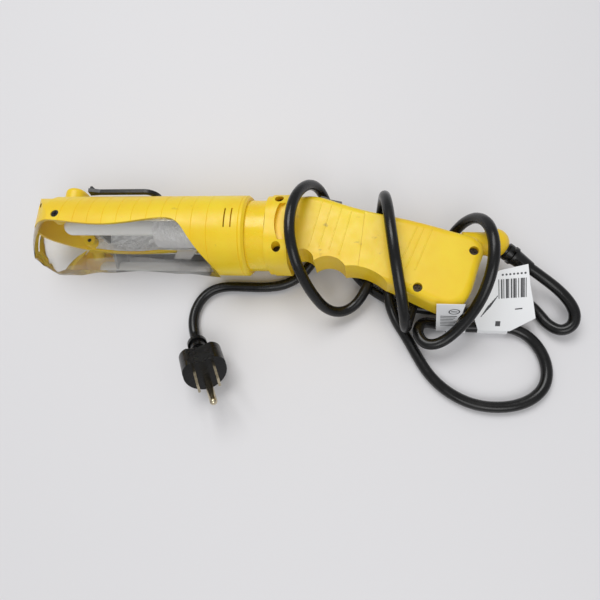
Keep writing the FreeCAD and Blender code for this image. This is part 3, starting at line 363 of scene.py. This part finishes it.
# The lens's section: a flat front, a crease on either side and sides that end at the seams.
LENS_WIDE = 26.8
CREASE = 18.5
CREASE_FRONT = -19.5
FLAT_HALF = 4
FLAT_FRONT = -31
SEAM_HIGHEST = 8
# How far forward the section reaches at each half width, and how wide it is at each height.
SECTION = [(0, FLAT_FRONT), (FLAT_HALF, FLAT_FRONT), (CREASE, CREASE_FRONT), (LENS_WIDE, 0)]
SECTION_BACK = [(FLAT_FRONT, FLAT_HALF), (CREASE_FRONT, CREASE), (0, LENS_WIDE),
                (SEAM_HIGHEST, LENS_WIDE)]
# The half widths at which the front of the lens has its points.
ACROSS = (LENS_WIDE, 22.5, CREASE, 14, 9, FLAT_HALF)
WALL_STEPS = 4
SHEET_INSET = 0.2
# Ahead of this point the tip's lower part draws back, the more the further forward it reaches.
TIP_START = -165
TIP_LENGTH = 23.5
TIP_DRAW = 5
TIP_DEPTH = 20
# The sheet's first and last row, and how many steps lie between them, closer at the tip.
LENS_START = -188.4
LENS_END = -53.0
LENS_ROWS = 60
ROW_POWER = 1.7
MERGE_DISTANCE = 0.00005
LENS_SMOOTH_ANGLE = math.radians(24)


def between(line, x):
    """Height of a polyline at x, held level beyond its ends."""
    if x <= line[0][0]:
        return line[0][1]
    for (x0, y0), (x1, y1) in zip(line, line[1:]):
        if x <= x1:
            return y0 + (y1 - y0) * (x - x0) / (x1 - x0)
    return line[-1][1]


def head_point(x, y, z):
    """A point given from the head's axis, in millimetres, as a row-frame point."""
    return place(x, y, z + AXIS_HEIGHT)


def mesh_object(name, corners, faces, slot):
    """A new mesh with the material of a slot."""
    data = bpy.data.meshes.new(name)
    data.from_pydata(corners, [], faces)
    data.update()
    thing = bpy.data.objects.new(name, data)
    bpy.context.scene.collection.objects.link(thing)
    paint(thing, slot)
    return thing


def lens_row(x):
    """The lens's section at x, from one seam round the front to the other."""
    seam, front = between(PARTING, x), between(LENS_FRONT, x)
    width = min(between(TIP_ROUND, x) - SHEET_INSET, between(SECTION_BACK, seam))
    edge = max(front, min(seam, between(SECTION, width)))
    half = [(seam + (edge - seam) * step / WALL_STEPS, width) for step in range(WALL_STEPS)]
    for level in ACROSS:
        reach = min(level, width)
        half.append((max(front, min(seam, between(SECTION, reach))), reach))
    whole = half + [(y, -z) for y, z in reversed(half)]
    draw = TIP_DRAW * max(0.0, (TIP_START - x) / TIP_LENGTH)
    return [head_point(x + draw * (min(y, 0) / TIP_DEPTH) ** 2, y, z) for y, z in whole]


def grid_faces(rows, wide):
    """The faces of a sheet whose points come in rows of the same length."""
    faces = []
    for row in range(rows - 1):
        for column in range(wide - 1):
            first = row * wide + column
            faces.append((first, first + 1, first + wide + 1, first + wide))
    return faces


def make_lens():
    steps = [(step / LENS_ROWS) ** ROW_POWER for step in range(LENS_ROWS + 1)]
    rows = [lens_row(LENS_START + (LENS_END - LENS_START) * step) for step in steps]
    corners = [point for row in rows for point in row]
    lens = mesh_object("lens_sheet", corners, grid_faces(len(rows), len(rows[0])), "clear_lens")
    cleaner = bmesh.new()
    cleaner.from_mesh(lens.data)
    bmesh.ops.remove_doubles(cleaner, verts=cleaner.verts, dist=MERGE_DISTANCE)
    bmesh.ops.recalc_face_normals(cleaner, faces=cleaner.faces)
    cleaner.to_mesh(lens.data)
    cleaner.free()
    lens.data.shade_smooth()
    lens.data.set_sharp_from_angle(angle=LENS_SMOOTH_ANGLE)
    lens.visible_shadow = False
    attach(lens, "head")
    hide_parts("clear_lens")
    return lens


make_lens()


LINER_START = -160.0
LINER_END = -52.0
LINER_ROWS = 27
LINER_STEPS = 16
LINER_RADIUS = 24.3
LINER_LOWEST = -3.0
LINER_GAP = 1.0


def make_liner():
    """A thin bright sheet inside the yellow shell, from the tip's amber part to the foil."""
    corners = []
    for row in range(LINER_ROWS + 1):
        x = LINER_START + (LINER_END - LINER_START) * row / LINER_ROWS
        seam = max(between(PARTING, x), LINER_LOWEST) + LINER_GAP
        first = math.asin(seam / LINER_RADIUS)
        for step in range(LINER_STEPS + 1):
            turn = first + (math.pi - 2 * first) * step / LINER_STEPS
            y, z = LINER_RADIUS * math.sin(turn), LINER_RADIUS * math.cos(turn)
            corners.append(head_point(x, y, z))
    faces = grid_faces(LINER_ROWS + 1, LINER_STEPS + 1)
    liner = mesh_object("shell_liner", corners, faces, "reflector_foil")
    liner.data.shade_smooth()
    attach(liner, "head")


make_liner()


# ---------------------------------------------------------------- marks on the two labels
# Each flag's foot, across and above the bench, and its slope in degrees.
SMALL_FLAG = (-57.0, 7.0, 78)
LARGE_FLAG = (-56.3, 7.45, 34)
# How far the marks stand off the foot's plane: the flag's thickness and a little more.
MARK_LIFT = 0.45


def flag_marks(name, foot_y, foot_z, slope, marks):
    """Dark patches on a flag: each is a list of corners along the cord and up the flag."""
    rise = math.radians(slope)
    up = Vector((0, math.cos(rise), math.sin(rise)))
    lift = Vector((0, -math.sin(rise), math.cos(rise))) * MARK_LIFT
    corners, faces = [], []
    for mark in marks:
        first = len(corners)
        for along, reach in mark:
            corners.append(place(*(Vector((along, foot_y, foot_z)) + up * reach + lift)))
        faces.append(tuple(range(first, first + len(mark))))
    thing = mesh_object(name, corners, faces, "label_white")
    paint(thing, "ink")
    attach(thing, "grip")
    return thing


def bar(x, y, length, thick, lean=0.0):
    """A straight bar from (x, y), turned by lean degrees."""
    turn = math.radians(lean)
    along, across = (math.cos(turn), math.sin(turn)), (-math.sin(turn), math.cos(turn))
    corners = []
    for a, b in ((0, 0), (length, 0), (length, thick), (0, thick)):
        corners.append((x + along[0] * a + across[0] * b, y + along[1] * a + across[1] * b))
    return corners


DISC_STEPS = 24
RING_STEPS = 16


def disc(x, y, radius):
    turns = [math.tau * step / DISC_STEPS for step in range(DISC_STEPS)]
    return [(x + radius * math.cos(turn), y + radius * math.sin(turn)) for turn in turns]


def ring(x, y, radius, width):
    """A ring as short pieces round its middle."""
    pieces = []
    for step in range(RING_STEPS):
        turn, following = math.tau * step / RING_STEPS, math.tau * (step + 1) / RING_STEPS
        corners = [(turn, radius), (following, radius), (following, radius - width),
                   (turn, radius - width)]
        pieces.append([(x + r * math.cos(t), y + r * math.sin(t)) for t, r in corners])
    return pieces


SMALL_MARKS = ring(99, 27, 3.4, 0.7) + [bar(97.2, 26.6, 3.6, 0.9)]
SMALL_MARKS += [bar(91.6 + 0.25 * step, 20.5 - 2.1 * step, 10 - step % 3, 0.8) for step in range(7)]
# The widths of the bars, which say nothing.
BARCODE = [0.5, 0.9, 0.5, 1.3, 0.5, 0.9, 1.3, 0.5, 0.5, 1.3, 0.9, 0.5]
LARGE_MARKS = [bar(128.5 + 1.45 * step, 21.5 + 0.14 * step, width, 12.5, 6)
               for step, width in enumerate(BARCODE)]
LARGE_MARKS += [disc(129.5 + 2.2 * step, 37 + 0.25 * step, 0.65) for step in range(7)]
LARGE_MARKS += [bar(119 + 1.2 * step, 9 + 1.6 * step, 9, 0.5, 62) for step in range(5)]
LARGE_MARKS += [bar(139, 14.5, 4.4, 0.8, 8), bar(128, 3.2, 3.0, 3.4)]


# ---------------------------------------------------------------- ribs on the grip
# Each rib's two ends on the grip's flat side.
RIB_LINES = [((16, 19.5), (9, -12)), ((22.5, 17.5), (15.5, -12.5)), ((29, 15), (22, -14)),
             ((35.5, 13), (28.5, -17.5)), ((77, 2), (66, -24)), ((81, 1), (70, -26)),
             ((86, 0), (75.5, -27))]
# A rib's foot and top above the axis, and its half width at each.
RIB_SECTION = ((11.8, 0.55), (12.15, 0.3))


def make_ribs():
    """Fine slanting ribs on the grip's flat side."""
    corners, faces = [], []
    for (x0, y0), (x1, y1) in RIB_LINES:
        first = len(corners)
        for level, wide in RIB_SECTION:
            for x, y, side in ((x0, y0, -1), (x1, y1, -1), (x1, y1, 1), (x0, y0, 1)):
                corners.append(head_point(x + side * wide, y, level))
        faces += [tuple(first + 4 + step for step in range(4))]
        faces += [(first + step, first + (step + 1) % 4, first + 4 + (step + 1) % 4,
                   first + 4 + step) for step in range(4)]
    ribs = mesh_object("grip_ribs", corners, faces, "yellow_shell")
    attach(ribs, "grip")


make_ribs()


# ---------------------------------------------------------------- floor and light
FLOOR_SIZE = 6


def make_stage():
    bpy.ops.mesh.primitive_plane_add(size=FLOOR_SIZE, location=(0, 0, 0))
    floor = bpy.context.object
    floor.name = "floor"
    paper = Shader("floor", (0.76, 0.752, 0.765), 0.6)
    floor.data.materials.append(paper.material)


def area_light(name, at, aim, width, height, power):
    data = bpy.data.lights.new(name, "AREA")
    data.shape = "RECTANGLE"
    data.size, data.size_y = width, height
    data.energy = power
    lamp = bpy.data.objects.new(name, data)
    bpy.context.scene.collection.objects.link(lamp)
    lamp.location = at
    direction = Vector(aim) - Vector(at)
    lamp.rotation_euler = direction.to_track_quat("-Z", "Y").to_euler()


def make_light():
    area_light("key", at=(-0.25, 0.55, 1.25), aim=(0, 0, 0), width=0.9, height=0.7, power=9.5)
    area_light("fill", at=(0.25, -0.9, 1.0), aim=(0, 0, 0), width=0.9, height=0.7, power=5)
    world = bpy.data.worlds.new("studio")
    world.use_nodes = True
    background = world.node_tree.nodes["Background"]
    background.inputs["Color"].default_value = (0.97, 0.98, 1.0, 1)
    background.inputs["Strength"].default_value = 0.40
    bpy.context.scene.world = world
    bpy.context.scene.view_settings.view_transform = "Standard"


make_stage()
make_light()
small_marks = flag_marks("small_flag_marks", *SMALL_FLAG, SMALL_MARKS)
large_marks = flag_marks("large_flag_marks", *LARGE_FLAG, LARGE_MARKS)
